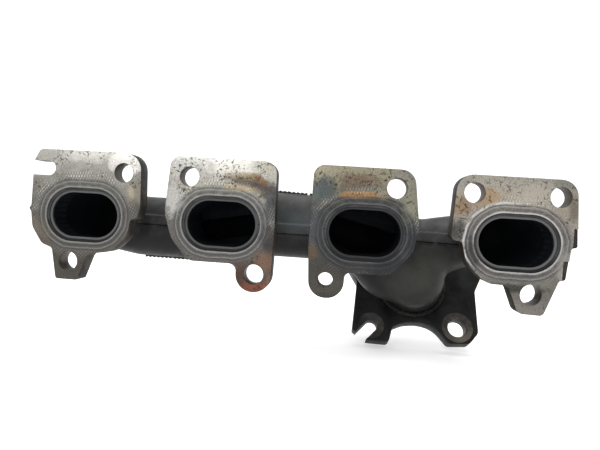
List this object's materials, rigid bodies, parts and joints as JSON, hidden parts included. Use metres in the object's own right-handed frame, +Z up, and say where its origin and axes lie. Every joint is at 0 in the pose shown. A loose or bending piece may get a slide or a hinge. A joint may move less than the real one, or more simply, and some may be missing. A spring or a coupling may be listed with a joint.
{
  "type": "exhaust manifold",
  "caption": "Double-walled log-type exhaust manifold: separate head flanges in a row, a dark two-piece shell over thin gas pipes with slip joints, and a tilted outlet flange.",
  "frame": {"origin": "the centre of the port row on the plane of the head flanges: on the line through the port centres, midway between ports 2 and 3", "axes": "+X along the port row towards the outlet end, +Y away from the cylinder head, +Z up"},
  "size_m": [0.3416, 0.1025, 0.1246],
  "materials": {
    "head_flange_steel": "milled, with heat tints and the marks of the gasket",
    "outlet_flange_steel": "heat-blackened",
    "shell_steel": "heat-blackened and rough",
    "gas_pipe_steel": "sooty and matte",
    "weld_metal": "scaled weld bead",
    "wire_mesh": "knitted wire"
  },
  "bodies": {
    "manifold": {"head_flange_1": "head_flange_steel", "head_flange_2": "head_flange_steel", "head_flange_3": "head_flange_steel", "head_flange_4": "head_flange_steel", "outlet_flange": "outlet_flange_steel", "upper_shell": "shell_steel", "lower_shell": "shell_steel", "liner_1": "gas_pipe_steel", "liner_2": "gas_pipe_steel", "collector_liner": "gas_pipe_steel", "liner_4": "gas_pipe_steel", "mesh_ring_1_2": "wire_mesh", "mesh_ring_2_3": "wire_mesh", "mesh_ring_3_4": "wire_mesh", "outlet_mesh_ring": "wire_mesh", "flange_weld_1": "weld_metal", "flange_weld_2": "weld_metal", "flange_weld_3": "weld_metal", "flange_weld_4": "weld_metal", "outlet_weld": "weld_metal", "seam_weld_front": "weld_metal", "seam_weld_rear": "weld_metal"},
    "slip_tube_1_2": {"slip_tube_1_2": "gas_pipe_steel"},
    "slip_tube_2_3": {"slip_tube_2_3": "gas_pipe_steel"}
  },
  "joints": [
    {"name": "slip_1_2", "type": "slide", "parent": "manifold", "child": "slip_tube_1_2", "axis": [1, 0, 0], "range_m": [-0.0014, 0.0014]},
    {"name": "slip_2_3", "type": "slide", "parent": "manifold", "child": "slip_tube_2_3", "axis": [1, 0, 0], "range_m": [-0.0014, 0.0014]}
  ]
}
